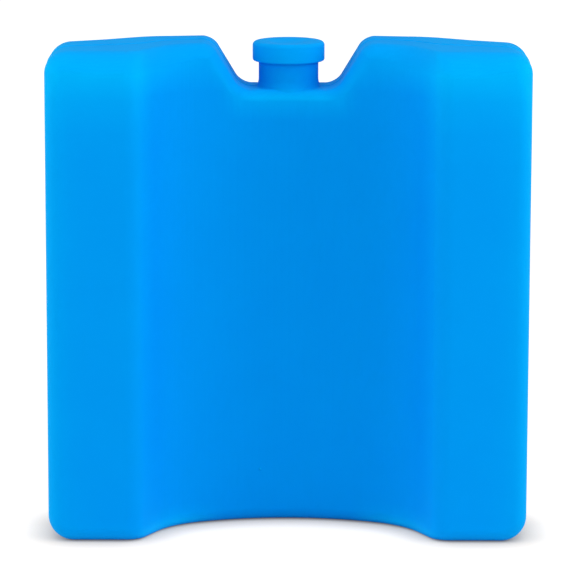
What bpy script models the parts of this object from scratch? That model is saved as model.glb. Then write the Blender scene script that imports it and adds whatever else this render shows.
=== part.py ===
"""Reusable ice pack with a bottle recess: a blow-moulded, gel-filled body and its press-on filler cap.

Metres, +Z up. The pack stands on its flat base at z = 0, with the origin in the middle of its footprint.
The concave front, where a bottle nests, faces -Y, and the flat back faces +Y.
"""

import math
from collections import namedtuple

import bmesh
import bpy
import numpy as np
from mathutils import Matrix, Vector

# Blown body, over all
PACK_WIDTH = 0.178
PACK_HEIGHT = 0.183
PACK_DEPTH = 0.061
SIDE_DEPTH = 0.038
BACK_FLAT_WIDTH = 0.103
BACK_BEND_RADIUS = 0.025

# Bottle recess down the front, given by the corners of its plan before the radii round them off
RECESS_DEPTH = 0.0335
RECESS_FLOOR_WIDTH = 0.034
RECESS_FLOOR_RADIUS = 0.090
RECESS_BEND_WIDTH = 0.088
RECESS_BEND_DEPTH = 0.0224
RECESS_BEND_RADIUS = 0.031
RECESS_MOUTH_WIDTH = 0.111
RECESS_CREST_RADIUS = 0.008

# Outline seen from the front
BASE_CORNER_RADIUS = 0.0105
TOP_CORNER_RADIUS = 0.010
NOTCH_DEPTH = 0.0185
NOTCH_FLOOR_WIDTH = 0.037
NOTCH_WALL_ANGLE = math.radians(59)
NOTCH_TOP_RADIUS = 0.008
NOTCH_FLOOR_RADIUS = 0.0083

# Rounding of the rims, where the outline turns into the front and the back
BASE_RIM = 0.0055
SIDE_RIM = 0.0055
SHOULDER_RIM = 0.0095
NOTCH_RIM = 0.004
RIM_STEPS = 6
RIM_SHARE_OF_CORNER = 0.95

# Raised line that the halves of the mould leave half way through the thickness, except on the base
PARTING_HEIGHT = 0.0002
PARTING_WIDTH = 0.0008

# Filler neck, standing in the middle of the notch
NECK_DIAMETER = 0.0224
NECK_EXPOSED = 0.0105
NECK_WALL = 0.0022
NECK_MOUTH_ROUNDING = 0.0005
NECK_ROOT = 0.012
FLARE_WIDTH = 0.0012
FLARE_TOP = 0.0018
FLARE_BOTTOM = 0.0016
FLARE_RADIUS = 0.003
BORE_DEPTH = 0.0075
BEAD_HEIGHT = 0.0004
BEAD_WIDTH = 0.0012
BEAD_FROM_MOUTH = 0.0022

# Press-on cap, with a skirt that snaps over the neck's bead and a plug that fills its bore
CAP_DIAMETER = 0.027
CAP_HEIGHT = 0.0073
CAP_TOP_THICKNESS = 0.0022
CAP_TOP_ROUNDING = 0.0011
CAP_RIM_ROUNDING = 0.0007
DISH_DIAMETER = 0.0165
DISH_DEPTH = 0.0007
DISH_FLOOR_DIAMETER = 0.008
DISH_ROUNDING = 0.008
PLUG_LENGTH = 0.004
PLUG_WALL = 0.0012
CAP_CLEARANCE = 0.0003

# Fineness of the facets: how far a chord may lie inside its arc, and the steps of a turned solid
FACET_SAG = 0.00005
TURNED_STEPS = 56
SMALLEST = 1e-6

HALF_DEPTH = PACK_DEPTH / 2
NOTCH_FLOOR_HEIGHT = PACK_HEIGHT - NOTCH_DEPTH
NECK_RADIUS = NECK_DIAMETER / 2
WEB_FRONT = RECESS_DEPTH - HALF_DEPTH
NECK_PLACE = (WEB_FRONT + HALF_DEPTH) / 2
CAVITY_DEPTH = CAP_HEIGHT - CAP_TOP_THICKNESS
NECK_RISE = NECK_EXPOSED + CAVITY_DEPTH - CAP_CLEARANCE
BLANK_HALF = 2 * max(BASE_RIM, SIDE_RIM, SHOULDER_RIM, NOTCH_RIM)

Corner = namedtuple("Corner", "u v radius", defaults=(0.0,))
Station = namedtuple("Station", "spot heading radius turn corner fraction")
Ring = namedtuple("Ring", "rim_outwards rim_inwards ridge_outwards y")


def clear_scene():
    for item in list(bpy.data.objects):
        bpy.data.objects.remove(item, do_unlink=True)


def plastic(name, colour, roughness):
    """Moulded polyethylene of one colour."""
    material = bpy.data.materials.new(name)
    material.use_nodes = True
    shader = material.node_tree.nodes["Principled BSDF"]
    shader.inputs["Base Color"].default_value = (*colour, 1.0)
    shader.inputs["Roughness"].default_value = roughness
    shader.inputs["Metallic"].default_value = 0.0
    return material


def object_from(name, bm, material):
    """A smooth-shaded object of the bmesh, with its faces turned outwards."""
    bmesh.ops.recalc_face_normals(bm, faces=bm.faces)
    mesh = bpy.data.meshes.new(name)
    bm.to_mesh(mesh)
    bm.free()
    mesh.shade_smooth()
    mesh.set_sharp_from_angle(angle=math.radians(35))
    mesh.materials.append(material)
    item = bpy.data.objects.new(name, mesh)
    bpy.context.scene.collection.objects.link(item)
    return item


def rounded_path(corners, closed):
    """Stations along the path through the corners, each corner turned by an arc of its radius.

    Where two arcs need more than the edge between them, both shrink until they share it.
    """
    count = len(corners)
    spots = [Vector((corner.u, corner.v)) for corner in corners]
    edges = [spots[(i + 1) % count] - spot for i, spot in enumerate(spots)]
    turns = [edges[i].angle_signed(edges[i - 1]) for i in range(count)]
    if not closed:
        turns[0] = turns[-1] = 0.0
    reaches = [corners[i].radius * math.tan(abs(turns[i]) / 2) for i in range(count)]
    fits = []
    for i, edge in enumerate(edges):
        wanted = reaches[i] + reaches[(i + 1) % count]
        fits.append(min(1.0, edge.length / wanted) if wanted else 1.0)
    stations = []
    for i, spot in enumerate(spots):
        heading = edges[i - 1].normalized() if closed or i else edges[0].normalized()
        reach = reaches[i] * min(fits[i - 1], fits[i])
        if reach < SMALLEST:
            stations.append(Station(spot, heading, 0.0, turns[i], i, 0.0))
            continue
        radius = reach / math.tan(abs(turns[i]) / 2)
        start = spot - heading * reach
        centre = start + Matrix.Rotation(math.copysign(math.pi / 2, turns[i]), 2) @ heading * radius
        sharpest = 2 * math.acos(1 - min(1.0, FACET_SAG / radius))
        steps = max(2, math.ceil(abs(turns[i]) / sharpest))
        for step in range(steps + 1):
            swing = Matrix.Rotation(turns[i] * step / steps, 2)
            on_arc = centre + swing @ (start - centre)
            stations.append(Station(on_arc, swing @ heading, radius, turns[i], i, step / steps))
    return stations


def mirrored(corners):
    """The corners of a right-hand half, from the middle outwards, after their mirror image."""
    left = [corner._replace(u=-corner.u) for corner in reversed(corners)]
    return left + corners


def front_plan():
    """Plan of the front: wing, crest, recess, crest, wing, as (x, y) from left to right."""
    front = -HALF_DEPTH
    half = [
        Corner(RECESS_FLOOR_WIDTH / 2, front + RECESS_DEPTH, RECESS_FLOOR_RADIUS),
        Corner(RECESS_BEND_WIDTH / 2, front + RECESS_BEND_DEPTH, RECESS_BEND_RADIUS),
        Corner(RECESS_MOUTH_WIDTH / 2, front, RECESS_CREST_RADIUS),
        Corner(PACK_WIDTH / 2, front),
    ]
    return np.array([station.spot for station in rounded_path(mirrored(half), closed=False)])


def back_plan():
    """Plan of the back: flat in the middle, slanting forward to the sides, as (x, y) from left to right."""
    half = [
        Corner(BACK_FLAT_WIDTH / 2, HALF_DEPTH, BACK_BEND_RADIUS),
        Corner(PACK_WIDTH / 2, SIDE_DEPTH - HALF_DEPTH),
    ]
    return np.array([station.spot for station in rounded_path(mirrored(half), closed=False)])


def outline():
    """Stations of the outline seen from the front, anticlockwise, each with its rim rounding and ridge."""
    side = PACK_WIDTH / 2
    floor = NOTCH_FLOOR_WIDTH / 2
    mouth = floor + NOTCH_DEPTH / math.tan(NOTCH_WALL_ANGLE)
    corners = [
        Corner(-side, 0.0, BASE_CORNER_RADIUS),
        Corner(side, 0.0, BASE_CORNER_RADIUS),
        Corner(side, PACK_HEIGHT, TOP_CORNER_RADIUS),
        Corner(mouth, PACK_HEIGHT, NOTCH_TOP_RADIUS),
        Corner(floor, NOTCH_FLOOR_HEIGHT, NOTCH_FLOOR_RADIUS),
        Corner(-floor, NOTCH_FLOOR_HEIGHT, NOTCH_FLOOR_RADIUS),
        Corner(-mouth, PACK_HEIGHT, NOTCH_TOP_RADIUS),
        Corner(-side, PACK_HEIGHT, TOP_CORNER_RADIUS),
    ]
    # The rim and the ridge of the edge that follows each corner
    rims = [BASE_RIM, SIDE_RIM, SHOULDER_RIM, NOTCH_RIM, NOTCH_RIM, NOTCH_RIM, SHOULDER_RIM, SIDE_RIM]
    ridges = [0.0] + [PARTING_HEIGHT] * (len(corners) - 1)
    stations = []
    for station in rounded_path(corners, closed=True):
        along = station.fraction
        before = station.corner - 1
        rim_ends = (rims[before], rims[station.corner])
        if station.turn > 0:
            rim_ends = tuple(min(rim, RIM_SHARE_OF_CORNER * station.radius) for rim in rim_ends)
        rim = rim_ends[0] + (rim_ends[1] - rim_ends[0]) * along
        ridge = ridges[before] + (ridges[station.corner] - ridges[before]) * along
        stations.append((station, rim, ridge))
    return stations


def rings():
    """Rings round the flat blank, from its front to its back: rounded rim, parting line, rounded rim."""
    quarter = [math.pi / 2 * step / RIM_STEPS for step in range(RIM_STEPS + 1)]
    front = [Ring(math.cos(angle) - 1, 1 - math.sin(angle), 0, -BLANK_HALF) for angle in reversed(quarter)]
    back = [Ring(math.cos(angle) - 1, math.sin(angle) - 1, 0, BLANK_HALF) for angle in quarter]
    line = [
        Ring(0, 0, 0, -PARTING_WIDTH / 2),
        Ring(0, 0, 1, -PARTING_WIDTH / 6),
        Ring(0, 0, 1, PARTING_WIDTH / 6),
        Ring(0, 0, 0, PARTING_WIDTH / 2),
    ]
    return front + line + back


def blank():
    """A flat blank of the outline, with its rims rounded and the parting line raised half way through."""
    stations = outline()
    bm = bmesh.new()
    loops = []
    for ring in rings():
        loop = []
        for station, rim, ridge in stations:
            outwards = ring.rim_outwards * rim + ring.ridge_outwards * ridge
            x = station.spot.x + station.heading.y * outwards
            z = station.spot.y - station.heading.x * outwards
            loop.append(bm.verts.new((x, ring.y + ring.rim_inwards * rim, z)))
        loops.append(loop)
    for near, far in zip(loops, loops[1:]):
        for i in range(len(near)):
            bm.faces.new((near[i - 1], near[i], far[i], far[i - 1]))
    bm.faces.new(loops[0])
    bm.faces.new(loops[-1])
    return bm


def pressed_body(material):
    """The blank, cut at every corner of the two plans and pressed to them."""
    front = front_plan()
    back = back_plan()
    bm = blank()
    for x in sorted({*front[1:-1, 0], *back[1:-1, 0]}):
        everything = bm.verts[:] + bm.edges[:] + bm.faces[:]
        bmesh.ops.bisect_plane(bm, geom=everything, dist=SMALLEST, plane_co=(x, 0, 0), plane_no=(1, 0, 0))
    for vert in bm.verts:
        x, y, z = vert.co
        front_y = np.interp(x, front[:, 0], front[:, 1])
        back_y = np.interp(x, back[:, 0], back[:, 1])
        if y < -PARTING_WIDTH:
            vert.co.y = front_y + y + BLANK_HALF
        elif y > PARTING_WIDTH:
            vert.co.y = back_y + y - BLANK_HALF
        else:
            vert.co.y = (front_y + back_y) / 2 + y
    return object_from("pack_body", bm, material)


def turned(name, corners, material):
    """A solid turned about the Z axis from its half section of (radius, height) corners."""
    bm = bmesh.new()
    path = rounded_path(corners, closed=False)
    section = [bm.verts.new((station.spot.x, 0, station.spot.y)) for station in path]
    edges = [bm.edges.new(pair) for pair in zip(section, section[1:])]
    bmesh.ops.spin(
        bm,
        geom=section + edges,
        cent=(0, 0, 0),
        axis=(0, 0, 1),
        angle=math.tau,
        steps=TURNED_STEPS,
        use_merge=True,
    )
    bmesh.ops.remove_doubles(bm, verts=bm.verts, dist=SMALLEST)
    return object_from(name, bm, material)


def neck(material):
    """The neck with its bore, rooted in the body. Heights are from the notch's floor."""
    bore = NECK_RADIUS - NECK_WALL
    bead_top = NECK_RISE - BEAD_FROM_MOUTH
    bead_bottom = bead_top - BEAD_WIDTH
    bead = NECK_RADIUS + BEAD_HEIGHT
    item = turned(
        "neck",
        [
            Corner(0, -NECK_ROOT),
            Corner(NECK_RADIUS + FLARE_WIDTH, -NECK_ROOT),
            Corner(NECK_RADIUS + FLARE_WIDTH, -FLARE_BOTTOM),
            Corner(NECK_RADIUS, FLARE_TOP, FLARE_RADIUS),
            Corner(NECK_RADIUS, bead_bottom - BEAD_HEIGHT),
            Corner(bead, bead_bottom),
            Corner(bead, bead_top),
            Corner(NECK_RADIUS, bead_top + BEAD_HEIGHT),
            Corner(NECK_RADIUS, NECK_RISE, NECK_MOUTH_ROUNDING),
            Corner(bore, NECK_RISE, NECK_MOUTH_ROUNDING),
            Corner(bore, NECK_RISE - BORE_DEPTH),
            Corner(0, NECK_RISE - BORE_DEPTH),
        ],
        material,
    )
    item.location = (0, NECK_PLACE, NOTCH_FLOOR_HEIGHT)
    item.hide_render = True
    item.display_type = "WIRE"
    return item


def filler_cap(material):
    """The cap, with heights from its lower rim."""
    radius = CAP_DIAMETER / 2
    skirt = NECK_RADIUS + CAP_CLEARANCE
    groove = skirt + BEAD_HEIGHT
    groove_top = NECK_RISE - BEAD_FROM_MOUTH - NECK_EXPOSED + CAP_CLEARANCE
    groove_bottom = groove_top - BEAD_WIDTH - 2 * CAP_CLEARANCE
    plug = NECK_RADIUS - NECK_WALL - CAP_CLEARANCE
    plug_tip = CAVITY_DEPTH - PLUG_LENGTH
    cap = turned(
        "filler_cap",
        [
            Corner(0, CAP_HEIGHT - DISH_DEPTH),
            Corner(DISH_FLOOR_DIAMETER / 2, CAP_HEIGHT - DISH_DEPTH, DISH_ROUNDING),
            Corner(DISH_DIAMETER / 2, CAP_HEIGHT, DISH_ROUNDING),
            Corner(radius, CAP_HEIGHT, CAP_TOP_ROUNDING),
            Corner(radius, 0, CAP_RIM_ROUNDING),
            Corner(skirt, 0),
            Corner(skirt, groove_bottom - BEAD_HEIGHT),
            Corner(groove, groove_bottom),
            Corner(groove, groove_top),
            Corner(skirt, groove_top + BEAD_HEIGHT),
            Corner(skirt, CAVITY_DEPTH),
            Corner(plug, CAVITY_DEPTH),
            Corner(plug, plug_tip),
            Corner(plug - PLUG_WALL, plug_tip),
            Corner(plug - PLUG_WALL, CAVITY_DEPTH),
            Corner(0, CAVITY_DEPTH),
        ],
        material,
    )
    cap.location = (0, NECK_PLACE, NOTCH_FLOOR_HEIGHT + NECK_EXPOSED)


def main():
    clear_scene()
    body_plastic = plastic("blown_polyethylene", (0.0, 0.30, 0.84), 0.36)
    cap_plastic = plastic("moulded_polyethylene", (0.0, 0.33, 0.86), 0.32)
    body = pressed_body(body_plastic)
    join = body.modifiers.new("neck", "BOOLEAN")
    join.operation = "UNION"
    join.solver = "EXACT"
    join.object = neck(body_plastic)
    filler_cap(cap_plastic)


main()
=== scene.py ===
import math

import bmesh
import bpy
import numpy as np
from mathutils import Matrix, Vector


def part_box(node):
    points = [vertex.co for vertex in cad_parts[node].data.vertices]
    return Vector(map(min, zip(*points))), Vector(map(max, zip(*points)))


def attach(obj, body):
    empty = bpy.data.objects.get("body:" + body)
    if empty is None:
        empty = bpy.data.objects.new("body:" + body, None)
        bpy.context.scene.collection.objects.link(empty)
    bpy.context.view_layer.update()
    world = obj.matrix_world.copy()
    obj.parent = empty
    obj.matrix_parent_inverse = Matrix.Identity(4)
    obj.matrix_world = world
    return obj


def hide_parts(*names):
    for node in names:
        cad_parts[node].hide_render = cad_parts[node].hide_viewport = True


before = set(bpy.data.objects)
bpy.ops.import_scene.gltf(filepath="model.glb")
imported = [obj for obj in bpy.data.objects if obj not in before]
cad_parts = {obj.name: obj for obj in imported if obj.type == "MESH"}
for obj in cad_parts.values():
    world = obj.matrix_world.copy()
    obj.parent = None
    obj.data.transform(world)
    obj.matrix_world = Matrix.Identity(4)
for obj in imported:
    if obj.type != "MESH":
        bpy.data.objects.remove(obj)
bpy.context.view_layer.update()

# The pack body
# Blow-moulded polyethylene bottle, filled with gel: a flat slab in outline, pressed by the two
# halves of its mould to a deep bottle recess in front and to a back that slants forward at the
# sides.

body_low, body_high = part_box("pack_body")
FRONT = body_low.y
BACK = body_high.y
# The mould's parting line, which stands out all round the slab but under its base
PARTING_HEIGHT = 0.0002
PARTING_WIDTH = 0.0007
PARTING_TOP = PARTING_WIDTH / 3
# The slab inside the parting line
WIDTH = body_high.x - body_low.x - 2 * PARTING_HEIGHT
HALF_WIDTH = WIDTH / 2
HEIGHT = body_high.z - body_low.z - PARTING_HEIGHT
# Its back, flat in the middle. Here and below, a reach is how far from a corner its arc starts
SIDE_DEPTH = 0.038
BACK_FLAT = 0.0515
BACK_BEND_REACH = 0.0071
# The bottle recess, from its floor over a bend to the crest at each wing
RECESS_DEPTH = 0.0335
RECESS_FLOOR = 0.017
RECESS_FLOOR_REACH = 0.0169
RECESS_BEND = 0.044
RECESS_BEND_DEPTH = 0.0224
RECESS_BEND_REACH = 0.0114
RECESS_MOUTH = 0.0555
RECESS_CREST_REACH = 0.0049
# The corners of the outline, and the notch in its top
BASE_CORNER = 0.0095
TOP_CORNER = 0.008
NOTCH_DEPTH = 0.018
NOTCH_FLOOR = 0.0179
NOTCH_WALL = math.radians(59)
NOTCH_MOUTH = NOTCH_FLOOR + NOTCH_DEPTH / math.tan(NOTCH_WALL)
NOTCH_TOP_REACH = 0.0038
NOTCH_FLOOR_REACH = 0.004
# The rounded rim between outline and faces
BASE_RIM = 0.0055
SIDE_RIM = 0.0055
NOTCH_RIM = 0.004
# The shoulder's rim, from the notch to the top corner, where it stays narrower than its radius
SHOULDER_START = NOTCH_MOUTH + NOTCH_TOP_REACH
SHOULDER_END = HALF_WIDTH - TOP_CORNER
RIM_RUN = 0.012
SHOULDER_STATIONS = (
    SHOULDER_START,
    SHOULDER_START + RIM_RUN,
    SHOULDER_END - RIM_RUN,
    SHOULDER_END,
)
SHOULDER_RIMS = (0.0062, 0.0081, 0.009, 0.0074)
# How finely the mesh follows the outline, the rims, the plans and the height
CORNER_STEPS = 14
SHOULDER_CUTS = 7
RIM_STEPS = 10
ARC_STEPS = 12
COLUMN_SPACING = 0.005
ROW_SPACING = 0.012
# The slab before it is pressed, and the close rings that keep its flats flat up to the rims
BLANK_HALF = 0.02
SUPPORT = 0.0003
SUPPORT_SHARE = 0.05
# Edges that turn less than this are straight, and points nearer than this are in one place
STRAIGHT = math.radians(1)
NEAR = 1e-5


def start_editing(piece):
    """Makes the piece the active one and opens it in edit mode, with nothing selected."""
    bpy.ops.object.select_all(action="DESELECT")
    piece.select_set(True)
    bpy.context.view_layer.objects.active = piece
    bpy.ops.object.mode_set(mode="EDIT")
    bpy.ops.mesh.select_all(action="DESELECT")


def pick(piece, kind, wanted):
    """Selects only the verts, edges or faces that pass the test."""
    bpy.ops.mesh.select_mode(type=kind)
    bpy.ops.mesh.select_all(action="DESELECT")
    mesh = bmesh.from_edit_mesh(piece.data)
    parts = {"VERT": mesh.verts, "EDGE": mesh.edges, "FACE": mesh.faces}[kind]
    for part in parts:
        part.select_set(bool(wanted(part)))
    mesh.select_flush_mode()
    bmesh.update_edit_mesh(piece.data)


def bisect_at(axis, place):
    """Cuts the whole piece across the axis, keeping both sides."""
    normal = [0.0, 0.0, 0.0]
    normal[axis] = 1.0
    bpy.ops.mesh.select_all(action="SELECT")
    bpy.ops.mesh.bisect(
        plane_co=[place * along for along in normal], plane_no=normal, threshold=NEAR
    )


def outline_plate():
    """The pack's outline as one flat upright face, notched, with its corners rounded."""
    bpy.ops.mesh.primitive_plane_add(
        size=1, location=(0, 0, HEIGHT / 2), rotation=(math.pi / 2, 0, 0)
    )
    plate = bpy.context.object
    plate.name = "moulded_body"
    plate.scale = (WIDTH, HEIGHT, 1)
    bpy.ops.object.transform_apply(location=True, rotation=True, scale=True)
    start_editing(plate)
    for x in (-NOTCH_MOUTH, -NOTCH_FLOOR, NOTCH_FLOOR, NOTCH_MOUTH):
        bisect_at(0, x)
    pick(plate, "VERT", lambda v: v.co.z > HEIGHT - NEAR and abs(v.co.x) < NOTCH_FLOOR + NEAR)
    bpy.ops.transform.translate(value=(0, 0, -NOTCH_DEPTH))
    bpy.ops.mesh.select_all(action="SELECT")
    bpy.ops.mesh.dissolve_limited(angle_limit=STRAIGHT)
    for reach, x, z in (
        (BASE_CORNER, HALF_WIDTH, 0),
        (TOP_CORNER, HALF_WIDTH, HEIGHT),
        (NOTCH_TOP_REACH, NOTCH_MOUTH, HEIGHT),
        (NOTCH_FLOOR_REACH, NOTCH_FLOOR, HEIGHT - NOTCH_DEPTH),
    ):
        pick(plate, "VERT", lambda v: abs(abs(v.co.x) - x) < NEAR and abs(v.co.z - z) < NEAR)
        bpy.ops.mesh.bevel(
            affect="VERTICES", offset=reach, segments=CORNER_STEPS, clamp_overlap=True
        )
    # The rim's width changes along each shoulder, so the shoulders get points of their own
    for side in (-1, 1):
        pick(
            plate,
            "EDGE",
            lambda e: all(v.co.z > HEIGHT - NEAR and v.co.x * side > 0 for v in e.verts),
        )
        bpy.ops.mesh.subdivide(number_cuts=SHOULDER_CUTS)
    return plate


def remember_outline(mesh):
    """Writes on each vertex its place on the outline, the way out of it, and its rim and ridge."""
    face = mesh.faces[0]
    spot = mesh.verts.layers.float_vector.new("spot")
    way_out = mesh.verts.layers.float_vector.new("way_out")
    rim = mesh.verts.layers.float.new("rim")
    ridge = mesh.verts.layers.float.new("ridge")
    for corner in face.loops:
        here = corner.vert.co
        before = (here - corner.link_loop_prev.vert.co).normalized()
        after = (corner.link_loop_next.vert.co - here).normalized()
        along = (before + after).normalized()
        out = along.cross(face.normal)
        corner.vert[spot] = here
        corner.vert[way_out] = out
        if abs(here.x) > SHOULDER_START + NEAR:
            # The rim goes from the base's to the shoulder's as the outline turns from down to up
            top_rim = np.interp(abs(here.x), SHOULDER_STATIONS, SHOULDER_RIMS)
            rise = math.degrees(math.asin(max(-1.0, min(1.0, out.z))))
            corner.vert[rim] = np.interp(rise, (-90, 0, 90), (BASE_RIM, SIDE_RIM, top_rim))
        else:
            below = HEIGHT - here.z
            notch_rims = (SHOULDER_RIMS[0], NOTCH_RIM)
            corner.vert[rim] = np.interp(below, (0, NOTCH_TOP_REACH), notch_rims)
        if here.z < NEAR:
            corner.vert[rim] = BASE_RIM
        corner.vert[ridge] = np.interp(here.z, (0, BASE_CORNER), (0, PARTING_HEIGHT))


def draw_ring(piece, y, ridge_share=0, rim_share=0, rim_depth=0):
    """Extrudes the selected face to y and sets its points by shares of the ridge and the rim."""
    bpy.ops.mesh.extrude_region()
    mesh = bmesh.from_edit_mesh(piece.data)
    spot, way_out = (mesh.verts.layers.float_vector[name] for name in ("spot", "way_out"))
    rim, ridge = (mesh.verts.layers.float[name] for name in ("rim", "ridge"))
    for v in mesh.verts:
        if v.select:
            v.co = v[spot] + v[way_out] * (ridge_share * v[ridge] - rim_share * v[rim])
            v.co.y = y + rim_depth * v[rim]
    bmesh.update_edit_mesh(piece.data)


def draw_half(piece, side):
    """Extrudes one half of the slab from the parting line to its face, with the rim rounded."""
    draw_ring(piece, side * PARTING_TOP / 2, ridge_share=1)
    draw_ring(piece, side * PARTING_WIDTH / 2)
    draw_ring(piece, side * (PARTING_WIDTH / 2 + SUPPORT))
    draw_ring(piece, side * (BLANK_HALF - SUPPORT), rim_depth=-side)
    for step in range(RIM_STEPS + 1):
        angle = math.pi / 2 * step / RIM_STEPS
        rim_depth = side * (math.sin(angle) - 1)
        draw_ring(piece, side * BLANK_HALF, rim_share=1 - math.cos(angle), rim_depth=rim_depth)
    draw_ring(piece, side * BLANK_HALF, rim_share=1 + SUPPORT_SHARE)


def rounded(corners):
    """Points through a plan's corners, given as (x, y, reach), with an arc round each corner."""
    points = [Vector(corners[0][:2])]
    for before, corner, after in zip(corners, corners[1:], corners[2:]):
        tip = Vector(corner[:2])
        start = (Vector(before[:2]) - tip).normalized() * corner[2]
        end = (Vector(after[:2]) - tip).normalized() * corner[2]
        # With this pull, the curve from start to end is a true arc
        pull = math.sin(start.angle(end) / 2)
        for step in range(ARC_STEPS + 1):
            t = step / ARC_STEPS
            total = (1 - t) ** 2 + 2 * pull * t * (1 - t) + t**2
            points.append(tip + (start * (1 - t) ** 2 + end * t**2) / total)
    points.append(Vector(corners[-1][:2]))
    return np.array(points)


def press(piece, front, back):
    """Presses the slab's faces to the plans, with the parting line half way between them."""
    mesh = bmesh.from_edit_mesh(piece.data)
    for v in mesh.verts:
        front_y = np.interp(abs(v.co.x), front[:, 0], front[:, 1])
        back_y = np.interp(abs(v.co.x), back[:, 0], back[:, 1])
        if abs(v.co.y) < PARTING_WIDTH:
            v.co.y += (front_y + back_y) / 2
        elif v.co.y < 0:
            v.co.y += front_y + BLANK_HALF
        else:
            v.co.y += back_y - BLANK_HALF
    bmesh.update_edit_mesh(piece.data)


body = outline_plate()
outline = bmesh.from_edit_mesh(body.data)
outline.faces.ensure_lookup_table()
remember_outline(outline)
bmesh.update_edit_mesh(body.data)
bpy.ops.mesh.select_mode(type="FACE")
bpy.ops.mesh.select_all(action="SELECT")
draw_half(body, -1)
# The plate's own face still lies on the parting plane, and the back half grows from it
pick(body, "FACE", lambda f: len(f.verts) > 4 and abs(f.calc_center_median().y) < NEAR)
draw_half(body, 1)
front_plan = rounded(
    [
        (0, FRONT + RECESS_DEPTH, 0),
        (RECESS_FLOOR, FRONT + RECESS_DEPTH, RECESS_FLOOR_REACH),
        (RECESS_BEND, FRONT + RECESS_BEND_DEPTH, RECESS_BEND_REACH),
        (RECESS_MOUTH, FRONT, RECESS_CREST_REACH),
        (HALF_WIDTH, FRONT, 0),
    ]
)
back_plan = rounded(
    [(0, BACK, 0), (BACK_FLAT, BACK, BACK_BEND_REACH), (HALF_WIDTH, FRONT + SIDE_DEPTH, 0)]
)
# Columns and rows of points for the plans to press: everywhere, and closer where a plan turns
columns = {*front_plan[:-1, 0], *back_plan[:-1, 0], *np.arange(0, HALF_WIDTH, COLUMN_SPACING)}
for x in sorted(columns):
    for place in {x, -x}:
        bisect_at(0, place)
for z in np.arange(BASE_CORNER, HEIGHT, ROW_SPACING):
    bisect_at(2, z)
press(body, front_plan, back_plan)
bpy.ops.mesh.select_all(action="SELECT")
bpy.ops.mesh.normals_make_consistent(inside=False)
bpy.ops.object.mode_set(mode="OBJECT")
for name in ("spot", "way_out", "rim", "ridge"):
    body.data.attributes.remove(body.data.attributes[name])

# The neck
# A short round neck, blown in one with the body, standing in the middle of the notch. Its foot
# flares into the notch's floor, and its rounded mouth opens to a bore that takes the cap's plug.

NECK_PLACE = (FRONT + RECESS_DEPTH + BACK) / 2
NOTCH_FLOOR_HEIGHT = HEIGHT - NOTCH_DEPTH
NECK_RADIUS = 0.0112
NECK_RISE = 0.0145
NECK_WALL = 0.0022
# Its root reaches down inside the body, where the two join
NECK_ROOT = 0.012
BORE_DEPTH = 0.0075
FLARE = 0.0013
FLARE_RISE = 0.0018
FLARE_STEPS = 5
MOUTH_ROUNDING = 0.0005
MOUTH_STEPS = 3
TURN_SIDES = 96
# Faces that meet at less than this are shaded as one smooth surface
SMOOTH_ANGLE = math.radians(38)


def turn_up(name, height, rings):
    """A turned piece on the neck's axis: a disc drawn through rings of (radius, height)."""
    place = (0, NECK_PLACE, height + rings[0][1])
    bpy.ops.mesh.primitive_circle_add(
        vertices=TURN_SIDES, radius=rings[0][0], fill_type="NGON", location=place
    )
    piece = bpy.context.object
    piece.name = name
    bpy.ops.object.transform_apply(location=True, rotation=True, scale=True)
    start_editing(piece)
    bpy.ops.mesh.select_mode(type="FACE")
    bpy.ops.mesh.select_all(action="SELECT")
    for (radius, low), (next_radius, high) in zip(rings, rings[1:]):
        growth = next_radius / radius
        bpy.ops.mesh.extrude_region()
        bpy.ops.transform.resize(value=(growth, growth, 1), center_override=place)
        bpy.ops.transform.translate(value=(0, 0, high - low))
    bpy.ops.mesh.select_all(action="SELECT")
    bpy.ops.mesh.normals_make_consistent(inside=False)
    return piece


def soften(piece, radius, height, width, steps):
    """Bevels the circle of edges at this radius and height."""

    def on_circle(edge):
        reaches = [math.hypot(v.co.x, v.co.y - NECK_PLACE) for v in edge.verts]
        at_radius = all(abs(reach - radius) < NEAR for reach in reaches)
        return at_radius and all(abs(v.co.z - height) < NEAR for v in edge.verts)

    pick(piece, "EDGE", on_circle)
    bpy.ops.mesh.bevel(affect="EDGES", offset=width, segments=steps, clamp_overlap=True)


neck = turn_up(
    "neck",
    NOTCH_FLOOR_HEIGHT,
    [
        (NECK_RADIUS + FLARE, -NECK_ROOT),
        (NECK_RADIUS + FLARE, -FLARE),
        (NECK_RADIUS, FLARE_RISE),
        (NECK_RADIUS, NECK_RISE),
        (NECK_RADIUS - NECK_WALL, NECK_RISE),
        (NECK_RADIUS - NECK_WALL, NECK_RISE - BORE_DEPTH),
    ],
)
soften(neck, NECK_RADIUS, NOTCH_FLOOR_HEIGHT + FLARE_RISE, FLARE, FLARE_STEPS)
soften(neck, NECK_RADIUS, NOTCH_FLOOR_HEIGHT + NECK_RISE, MOUTH_ROUNDING, MOUTH_STEPS)
bpy.ops.object.mode_set(mode="OBJECT")

bpy.context.view_layer.objects.active = body
join = body.modifiers.new("neck", "BOOLEAN")
join.operation = "UNION"
join.solver = "EXACT"
join.object = neck
bpy.ops.object.modifier_apply(modifier=join.name)
bpy.data.objects.remove(neck)
bpy.ops.object.shade_smooth_by_angle(angle=SMOOTH_ANGLE)

# The blown wall
# The colour of the body and its neck, one wall of polyethylene dyed through: deep blue on the
# faces, deeper up the neck as painted shade under the cap, and paler over its rims, sides, crests
# and base edge, partly where blowing thins the wall and partly as painted highlights.

# How thin the wall is, from 0 where it is thickest to 1: on the faces, and up the neck, where
# its falling share is painted shade under the cap
WALL = 0.3
NECK_SHARE = 0.5
NECK_FADE = NECK_RADIUS / 2
# How far in from the edge the ridges of the top rim and the notch's rim run, and how they meet
TOP_RIDGE = 0.0085
NOTCH_RIDGE = 0.003
RIDGE_BLEND = 3
FAR_OFF = 100
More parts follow.
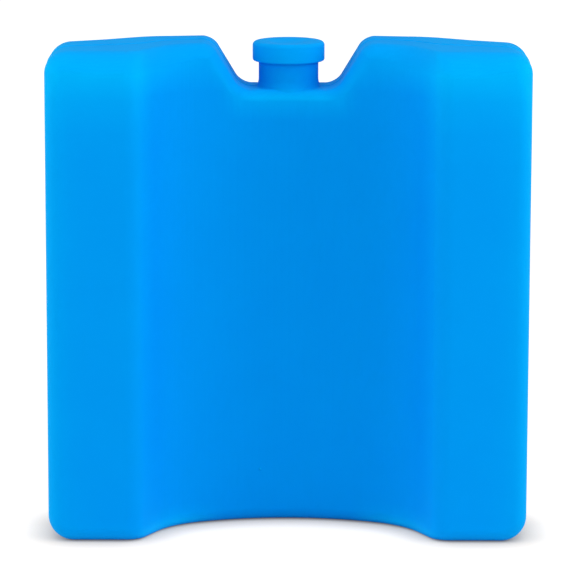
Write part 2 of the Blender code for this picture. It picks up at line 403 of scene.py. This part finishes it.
# What these ridges add, mostly a painted highlight along the top rim and the notch's rim, partly
# the paler thin wall there. In the notch it eases off from the floor to the walls
WING_GAIN = 0.55
SHOULDER_GAIN = 0.3
NOTCH_GAIN = 0.5
NOTCH_WALL_GAIN = 0.25
NOTCH_EASE = 0.006
# How fast it fades, counted in ridge widths: towards the edge and on the wings, and then inwards
# on the shoulders and in the notch
RIM_FADE = 1.1
SHOULDER_FADE = 0.25
NOTCH_FADE = 0.7
# What the sides add, a painted highlight along the rounded sides
SIDE_GAIN = 0.45
SIDE_FADE = 0.004
# What the crests between recess and wings add, a painted highlight, from bottom to top
CREST = 0.0525
CREST_FADE = 0.0035
CREST_LOW_GAIN = 0.1
CREST_HIGH_GAIN = 0.22
CREST_DEPTH = 0.012
# What the edge of the base adds, a painted highlight: under the wings, and round the recess's arch
BASE_RIDGE = 0.0025
BASE_FADE = 0.002
BASE_GAIN = 0.2
ARCH_STATIONS = (0.024, 0.041, 0.050, 0.056)
ARCH_GAINS = (0, 0.9, 0.9, 0.2)


def bell(distance, fade):
    """1 in the middle, fading to 0 on both sides."""
    return math.exp(-((distance / fade) ** 2))


def wall_thinness_and_highlights(place):
    """How thin the wall is at a place, with painted highlights on its edges and painted shade up
    the neck.
    """
    above = place.z - NOTCH_FLOOR_HEIGHT
    # Up the neck the blue deepens towards the cap: painted shade under the cap
    if above > NEAR and math.hypot(place.x, place.y - NECK_PLACE) < NECK_RADIUS + FLARE:
        return np.interp(above, (0, NECK_FADE), (WALL, WALL * NECK_SHARE))
    across = abs(place.x)
    wing = np.interp(across, (RECESS_BEND, RECESS_MOUTH), (0, 1))
    # How far the place is past the ridge of the nearer rim: -1 at the outline, 0 on the ridge
    from_wall = (across - NOTCH_FLOOR) * math.sin(NOTCH_WALL) - above * math.cos(NOTCH_WALL)
    from_notch = min(max(from_wall, -above) / NOTCH_RIDGE, FAR_OFF)
    near_top = math.exp(-RIDGE_BLEND * (HEIGHT - place.z) / TOP_RIDGE)
    near_notch = math.exp(-RIDGE_BLEND * from_notch)
    past_ridge = -math.log(near_top + near_notch) / RIDGE_BLEND - 1
    notch = near_notch / (near_top + near_notch)
    fade = RIM_FADE
    if past_ridge > 0:
        top_fade = np.interp(wing, (0, 1), (SHOULDER_FADE, RIM_FADE))
        fade = top_fade * (1 - notch) + NOTCH_FADE * notch
    notch_corner = (NOTCH_FLOOR - NOTCH_EASE, NOTCH_FLOOR + NOTCH_EASE / 2)
    notch_gain = np.interp(across, notch_corner, (NOTCH_GAIN, NOTCH_WALL_GAIN))
    top_gain = np.interp(wing, (0, 1), (SHOULDER_GAIN, WING_GAIN))
    gain = top_gain * (1 - notch) + notch_gain * notch
    # Painted highlight along the top rim and the notch's rim, partly thin wall
    rim = gain * math.exp(-abs(past_ridge) / fade)
    # Painted highlight on the rounded sides
    side = SIDE_GAIN * math.exp(-max(0.0, HALF_WIDTH - across) / SIDE_FADE)
    # Painted highlight down the crests
    crest = np.interp(place.z, (0, HEIGHT), (CREST_LOW_GAIN, CREST_HIGH_GAIN))
    in_front = np.interp(place.y, (FRONT, FRONT + CREST_DEPTH), (1, 0))
    crest *= bell(across - CREST, CREST_FADE) * in_front
    # Painted highlight along the base's edge and round the arch
    base = max(np.interp(across, ARCH_STATIONS, ARCH_GAINS), BASE_GAIN * wing)
    base *= math.exp(-abs(place.z - BASE_RIDGE) / BASE_FADE)
    return WALL + max(rim, base) + side + crest


def remember_thinness_and_highlights(piece, thinness_and_highlight):
    """Writes the wall's thinness, with its painted highlights and shade, on the piece's points."""
    layer = piece.data.attributes.new("thinness_and_highlight", "FLOAT", "POINT")
    for vertex, point in zip(piece.data.vertices, layer.data):
        point.value = thinness_and_highlight(vertex.co)


def linear(hex_colour):
    """The linear RGBA of an sRGB hex colour."""
    channels = [int(hex_colour[i : i + 2], 16) / 255 for i in (1, 3, 5)]
    curved = [c / 12.92 if c <= 0.04045 else ((c + 0.055) / 1.055) ** 2.4 for c in channels]
    return (*curved, 1.0)


def set_inputs(material, node, inputs):
    """Gives each input of the node its value, or its link from a (node, output) pair."""
    for socket, value in inputs.items():
        if isinstance(value, tuple) and isinstance(value[0], bpy.types.Node):
            material.node_tree.links.new(value[0].outputs[value[1]], node.inputs[socket])
        else:
            node.inputs[socket].default_value = value


def add_node(material, kind, inputs, **settings):
    """Adds a node with its settings, input values and links."""
    node = material.node_tree.nodes.new(kind)
    for name, value in settings.items():
        setattr(node, name, value)
    set_inputs(material, node, inputs)
    return node


# The deep blue of the dyed wall, also the painted shade up the neck, and the pale blue it turns to
# where the wall is thin and where highlights are painted along the edges
DEEP_BLUE = "#0083E5"
THIN_WALL_AND_HIGHLIGHT_BLUE = "#00B2F8"
# Dyed polyethylene with hardly any gloss: what sheen it has is broad, weak and pale blue
SHEEN_BLUE = "#40C8FF"
SHEEN_LEVEL = 0.05
POLYETHYLENE_ROUGHNESS = 0.65
POLYETHYLENE_IOR = 1.51
# The wall's thickness drifts from place to place, in clouds about 20 mm across
CLOUD_SIZE = 0.020
CLOUD_SHARE = 0.1
# Slow waves of the blown wall, about 12 mm long
WAVE_SIZE = 0.0125
WAVE_HEIGHT = 0.00006
WAVE_DETAIL = 1.0
# The mould's blasted grain: really about 0.2 mm, drawn 1 mm so that it shows
GRAIN_SIZE = 0.0011
GRAIN_HEIGHT = 0.00001
GRAIN_DETAIL = 3.0
# One moulding pip, about 1 mm across, low on the bottle recess
PIP_X = -0.0104
PIP_PLACE = (PIP_X, np.interp(-PIP_X, front_plan[:, 0], front_plan[:, 1]), 0.0204)
PIP_RADIUS = 0.0006
PIP_HEIGHT = 0.0004
PIP_THINNESS = 0.6


def satin_polyethylene(name):
    """Satin polyethylene, opaque and dyed through, paler where its wall is thin and with painted
    highlights and shade from its points.
    """
    material = bpy.data.materials.new(name)
    material.use_nodes = True
    coordinates = add_node(material, "ShaderNodeTexCoord", {})
    place = (coordinates, "Object")
    wall_and_highlight = add_node(material, "ShaderNodeAttribute", {}, attribute_name="thinness_and_highlight")
    cloud = add_node(material, "ShaderNodeTexNoise", {"Vector": place, "Scale": 1 / CLOUD_SIZE})
    drift_and_highlight = add_node(
        material,
        "ShaderNodeMath",
        {0: (cloud, "Fac"), 1: CLOUD_SHARE, 2: (wall_and_highlight, "Fac")},
        operation="MULTIPLY_ADD",
    )
    wave = add_node(
        material,
        "ShaderNodeTexNoise",
        {"Vector": place, "Scale": 1 / WAVE_SIZE, "Detail": WAVE_DETAIL},
    )
    waved = add_node(material, "ShaderNodeBump", {"Distance": WAVE_HEIGHT, "Height": (wave, "Fac")})
    from_pip = add_node(
        material, "ShaderNodeVectorMath", {0: place, 1: PIP_PLACE}, operation="DISTANCE"
    )
    pip = add_node(
        material,
        "ShaderNodeMapRange",
        {"Value": (from_pip, "Value"), "From Max": PIP_RADIUS, "To Min": 1.0, "To Max": 0.0},
    )
    thin_and_highlight = add_node(
        material,
        "ShaderNodeMath",
        {0: (pip, "Result"), 1: PIP_THINNESS, 2: (drift_and_highlight, "Value")},
        operation="MULTIPLY_ADD",
    )
    # The blue, paled by the thin wall, its clouds and pip, and by the painted highlights
    dye_and_highlight = add_node(
        material,
        "ShaderNodeMixRGB",
        {"Fac": (thin_and_highlight, "Value"), "Color1": linear(DEEP_BLUE), "Color2": linear(THIN_WALL_AND_HIGHLIGHT_BLUE)},
    )
    pipped = add_node(
        material,
        "ShaderNodeBump",
        {"Distance": PIP_HEIGHT, "Height": (pip, "Result"), "Normal": (waved, "Normal")},
    )
    grain = add_node(
        material,
        "ShaderNodeTexNoise",
        {"Vector": place, "Scale": 1 / GRAIN_SIZE, "Detail": GRAIN_DETAIL},
    )
    grained = add_node(
        material,
        "ShaderNodeBump",
        {"Distance": GRAIN_HEIGHT, "Height": (grain, "Fac"), "Normal": (pipped, "Normal")},
    )
    set_inputs(
        material,
        material.node_tree.nodes["Principled BSDF"],
        {
            "Base Color": (dye_and_highlight, "Color"),
            "Normal": (grained, "Normal"),
            "Roughness": POLYETHYLENE_ROUGHNESS,
            "IOR": POLYETHYLENE_IOR,
            "Specular IOR Level": SHEEN_LEVEL,
            "Specular Tint": linear(SHEEN_BLUE),
        },
    )
    return material


# Blown in a blasted mould: satin and faintly wavy, brighter along every edge, partly where the wall
# is thin and partly as painted highlights, and deeper up the neck as painted shade under the cap
remember_thinness_and_highlights(body, wall_thinness_and_highlights)
body.data.materials.clear()
body.data.materials.append(satin_polyethylene("blown_polyethylene"))
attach(body, "root")
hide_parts("pack_body")

# The filler cap
# Injection-moulded polyethylene cap, pressed on the neck for good: a shallow dish in its top, a
# skirt round the neck's mouth, and a plug inside it.

# How much of the neck shows below the cap
NECK_SHOWN = 0.0097
CAP_BASE = NOTCH_FLOOR_HEIGHT + NECK_SHOWN
CAP_RADIUS = 0.0135
CAP_HEIGHT = 0.0073
CAP_TOP_ROUNDING = 0.0015
CAP_TOP_STEPS = 8
CAP_RIM_ROUNDING = 0.0007
CAP_RIM_STEPS = 4
DISH_RADIUS = 0.0083
DISH_FLOOR = 0.004
DISH_DEPTH = 0.001
DISH_EASE = 0.002
DISH_STEPS = 5
SKIRT_RADIUS = 0.0115
CAVITY = 0.0051
PLUG_RADIUS = 0.0087
PLUG_WALL = 0.0012
PLUG_TIP = 0.0011
# How thin its wall is, on the body's scale
CAP_WALL = 0.45

cap = turn_up(
    "press_cap",
    CAP_BASE,
    [
        (DISH_FLOOR, CAP_HEIGHT - DISH_DEPTH),
        (DISH_RADIUS, CAP_HEIGHT),
        (CAP_RADIUS, CAP_HEIGHT),
        (CAP_RADIUS, 0),
        (SKIRT_RADIUS, 0),
        (SKIRT_RADIUS, CAVITY),
        (PLUG_RADIUS, CAVITY),
        (PLUG_RADIUS, PLUG_TIP),
        (PLUG_RADIUS - PLUG_WALL, PLUG_TIP),
        (PLUG_RADIUS - PLUG_WALL, CAVITY),
    ],
)
soften(cap, CAP_RADIUS, CAP_BASE + CAP_HEIGHT, CAP_TOP_ROUNDING, CAP_TOP_STEPS)
soften(cap, CAP_RADIUS, CAP_BASE, CAP_RIM_ROUNDING, CAP_RIM_STEPS)
soften(cap, DISH_RADIUS, CAP_BASE + CAP_HEIGHT, DISH_EASE, DISH_STEPS)
bpy.ops.object.mode_set(mode="OBJECT")
bpy.ops.object.shade_smooth_by_angle(angle=SMOOTH_ANGLE)
# Moulded with an even wall: the body's satin blue, a little paler and the same all over
remember_thinness_and_highlights(cap, lambda place: CAP_WALL)
cap.data.materials.append(satin_polyethylene("moulded_polyethylene"))
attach(cap, "root")
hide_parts("filler_cap")

# The floor
# White studio paper. It takes light as matt pale paper does, and where it is looked at it shows
# as fully lit white, with the pack's shadow and the darker line where the pack touches it.

FLOOR_SIZE = 40
WHITE = "#FFFFFF"
# The paper as it lights the pack, and the part of it that takes the shadow where it is looked
# at, which is warm because the pack throws blue on it
PAPER = "#E7E7E7"
SHOWN_PAPER = "#9E968E"
# The paper's own brightness near the pack and far from it, in strength and metres
GLOW_NEAR = 0.8
GLOW_FAR = 0.9
NEAR_REACH = 0.2
FAR_REACH = 1.2
# The contact shadow: how much brightness is left in it, and how far it reaches
CONTACT_GLOW = 0.1
CONTACT_REACH = 0.012
CONTACT_SAMPLES = 16

bpy.ops.object.select_all(action="DESELECT")
bpy.ops.mesh.primitive_plane_add(size=FLOOR_SIZE, location=(0, 0, 0))
floor = bpy.context.object
floor.name = "floor"
# Uncoated paper: pure white and matt to the eye, with a soft grey shadow and no reflection
paper = bpy.data.materials.new("white_paper")
paper.use_nodes = True
paper.node_tree.nodes.remove(paper.node_tree.nodes["Principled BSDF"])
coordinates = add_node(paper, "ShaderNodeTexCoord", {})
away = add_node(
    paper, "ShaderNodeVectorMath", {"Vector": (coordinates, "Object")}, operation="LENGTH"
)
glow = add_node(
    paper,
    "ShaderNodeMapRange",
    {
        "Value": (away, "Value"),
        "From Min": NEAR_REACH,
        "From Max": FAR_REACH,
        "To Min": GLOW_NEAR,
        "To Max": GLOW_FAR,
    },
)
open_above = add_node(
    paper, "ShaderNodeAmbientOcclusion", {"Distance": CONTACT_REACH}, samples=CONTACT_SAMPLES
)
contact = add_node(
    paper, "ShaderNodeMapRange", {"Value": (open_above, "AO"), "To Min": CONTACT_GLOW}
)
shaded = add_node(
    paper, "ShaderNodeMath", {0: (glow, "Result"), 1: (contact, "Result")}, operation="MULTIPLY"
)
lit = add_node(
    paper, "ShaderNodeEmission", {"Color": linear(WHITE), "Strength": (shaded, "Value")}
)
soft = add_node(paper, "ShaderNodeBsdfDiffuse", {"Color": linear(SHOWN_PAPER)})
shown = add_node(paper, "ShaderNodeAddShader", {0: (soft, "BSDF"), 1: (lit, "Emission")})
matt = add_node(paper, "ShaderNodeBsdfDiffuse", {"Color": linear(PAPER)})
rays = add_node(paper, "ShaderNodeLightPath", {})
looked_at = (rays, "Is Camera Ray")
for ray in ("Is Glossy Ray", "Is Transmission Ray"):
    either = add_node(paper, "ShaderNodeMath", {0: looked_at, 1: (rays, ray)}, operation="MAXIMUM")
    looked_at = (either, "Value")
both = add_node(
    paper, "ShaderNodeMixShader", {"Fac": looked_at, 1: (matt, "BSDF"), 2: (shown, "Shader")}
)
set_inputs(paper, paper.node_tree.nodes["Material Output"], {"Surface": (both, "Shader")})
floor.data.materials.append(paper)

# The light
# Plain white studio light from all round, a large softbox above and one on each side, and a
# small one in front that picks out the rounded top edges.

SKY = 0.4
SOFTBOX_DISTANCE = 1.5

world = bpy.data.worlds.new("studio")
world.use_nodes = True
sky = world.node_tree.nodes["Background"]
sky.inputs["Color"].default_value = linear(WHITE)
sky.inputs["Strength"].default_value = SKY
bpy.context.scene.world = world

# Each softbox: degrees round the pack from its front, degrees up, side in metres, and watts
for name, azimuth, elevation, size, watts in (
    ("top_softbox", 0, 80, 1.2, 8),
    ("right_softbox", 65, 24, 1.0, 11),
    ("left_softbox", -74, 15, 1.0, 9),
    ("front_softbox", 0, 33, 0.35, 2.5),
):
    around, up = math.radians(azimuth), math.radians(elevation)
    towards = Vector(
        (math.sin(around) * math.cos(up), -math.cos(around) * math.cos(up), math.sin(up))
    )
    lamp = bpy.data.lights.new(name, "AREA")
    lamp.size = size
    lamp.energy = watts
    softbox = bpy.data.objects.new(name, lamp)
    softbox.location = Vector((0, 0, HEIGHT / 2)) + towards * SOFTBOX_DISTANCE
    softbox.rotation_euler = towards.to_track_quat("Z", "Y").to_euler()
    bpy.context.scene.collection.objects.link(softbox)

# The camera
# In front of the pack and above it, looking down at it through a long lens, and turned a little
# on its axis as in the photograph.

# Where it stands, in front of the pack's wings and over the floor, and its turns in radians
CAMERA_DISTANCE = 1.313
CAMERA_HEIGHT = 0.3495
CAMERA_PITCH = 0.19023
CAMERA_ROLL = 0.0025
# The lens, from its focal length in pixels of the photograph's frame and the sensor's millimetres
FOCAL_PIXELS = 3647
IMAGE_PIXELS = 576
SENSOR = 36

camera_data = bpy.data.cameras.new("camera")
camera_data.sensor_width = SENSOR
camera_data.lens = FOCAL_PIXELS * SENSOR / IMAGE_PIXELS
camera = bpy.data.objects.new("camera", camera_data)
camera.location = (0, FRONT - CAMERA_DISTANCE, CAMERA_HEIGHT)
camera.rotation_euler = (math.pi / 2 - CAMERA_PITCH, 0, 0)
camera.rotation_euler.rotate_axis("Z", CAMERA_ROLL)
bpy.context.scene.collection.objects.link(camera)
bpy.context.scene.camera = camera
bpy.context.scene.view_settings.view_transform = "Standard"
